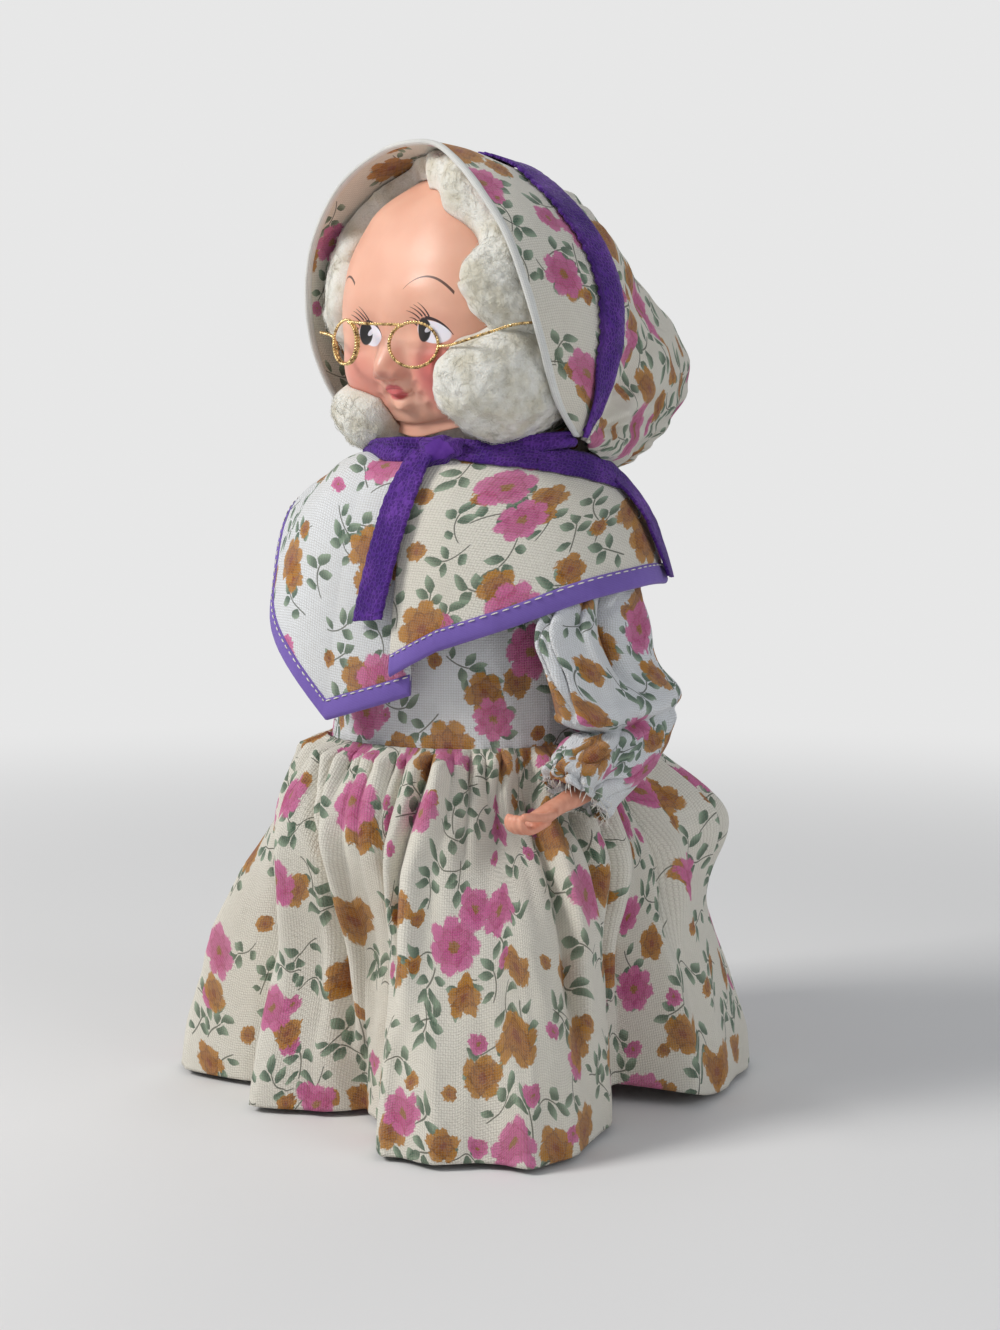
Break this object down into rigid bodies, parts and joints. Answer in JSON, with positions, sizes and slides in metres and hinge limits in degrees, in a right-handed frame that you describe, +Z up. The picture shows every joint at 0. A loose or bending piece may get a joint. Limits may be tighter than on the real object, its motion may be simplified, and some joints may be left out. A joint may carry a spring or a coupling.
{
  "type": "craft granny doll",
  "caption": "Standing craft granny doll in a floral dress, cape collar and tied bonnet; its head, arms, hands and wire spectacles move.",
  "frame": {"origin": "centre of the base disc's underside", "axes": "+Z up, the doll faces -Y, +X towards its left hand"},
  "size_m": [0.1697, 0.1638, 0.2981],
  "materials": {
    "floral cotton": "printed plain weave",
    "plain cotton": "plain weave",
    "lavender binding": "folded bias tape with running stitch",
    "purple lace": "lace ribbon",
    "peach vinyl": "moulded and painted vinyl",
    "cotton wool": "teased cotton wool",
    "gold wire": "bent wire",
    "white foam": "craft foam",
    "birch dowel": "plain",
    "pink base": "glossy",
    "black stud": "press stud",
    "white padding": "padded wire"
  },
  "bodies": {
    "body": {"base_disc": "pink base", "body_core": "white foam", "neck_dowel": "birch dowel", "bodice": "plain cotton", "skirt": "floral cotton", "collar_left": "floral cotton", "collar_right": "floral cotton", "binding_left": "lavender binding", "binding_right": "lavender binding", "neck_snap": "black stud", "tie_knot": "purple lace", "tie_tail_left": "purple lace", "tie_tail_right": "purple lace"},
    "head": {"head_ball": "white foam", "face_mask": "peach vinyl", "hair_top": "cotton wool", "hair_side_left": "cotton wool", "hair_side_right": "cotton wool", "hair_jaw_left": "cotton wool", "hair_jaw_right": "cotton wool", "hair_nape": "cotton wool", "bonnet_brim": "floral cotton", "bonnet_crown": "floral cotton", "bonnet_band": "purple lace", "tie_band": "purple lace"},
    "spectacles": {"spectacles": "gold wire"},
    "left_arm": {"arm_left": "white padding", "sleeve_left": "floral cotton"},
    "right_arm": {"arm_right": "white padding", "sleeve_right": "floral cotton"},
    "left_hand": {"hand_left": "peach vinyl"},
    "right_hand": {"hand_right": "peach vinyl"}
  },
  "joints": [
    {"name": "neck_turn", "type": "hinge", "parent": "body", "child": "head", "pos_m": [0, 0, 0.2045], "axis": [0, 0, 1], "range_deg": [-30, 30]},
    {"name": "spectacles_off", "type": "slide", "parent": "head", "child": "spectacles", "axis": [0, -0.9781, -0.2079], "range_m": [0, 0.045]},
    {"name": "left_shoulder", "type": "hinge", "parent": "body", "child": "left_arm", "pos_m": [0.0512, 0.01, 0.163], "axis": [-1, 0, 0], "range_deg": [0, 16]},
    {"name": "right_shoulder", "type": "hinge", "parent": "body", "child": "right_arm", "pos_m": [-0.0512, 0.01, 0.163], "axis": [-1, 0, 0], "range_deg": [0, 16]},
    {"name": "left_wrist", "type": "hinge", "parent": "left_arm", "child": "left_hand", "pos_m": [0.0612, -0.01283, 0.10275], "axis": [0.0643, -0.9177, -0.3921], "range_deg": [-60, 60]},
    {"name": "right_wrist", "type": "hinge", "parent": "right_arm", "child": "right_hand", "pos_m": [-0.0668, 0.01092, 0.09515], "axis": [-0.3349, -0.4884, -0.8058], "range_deg": [-60, 60]}
  ]
}
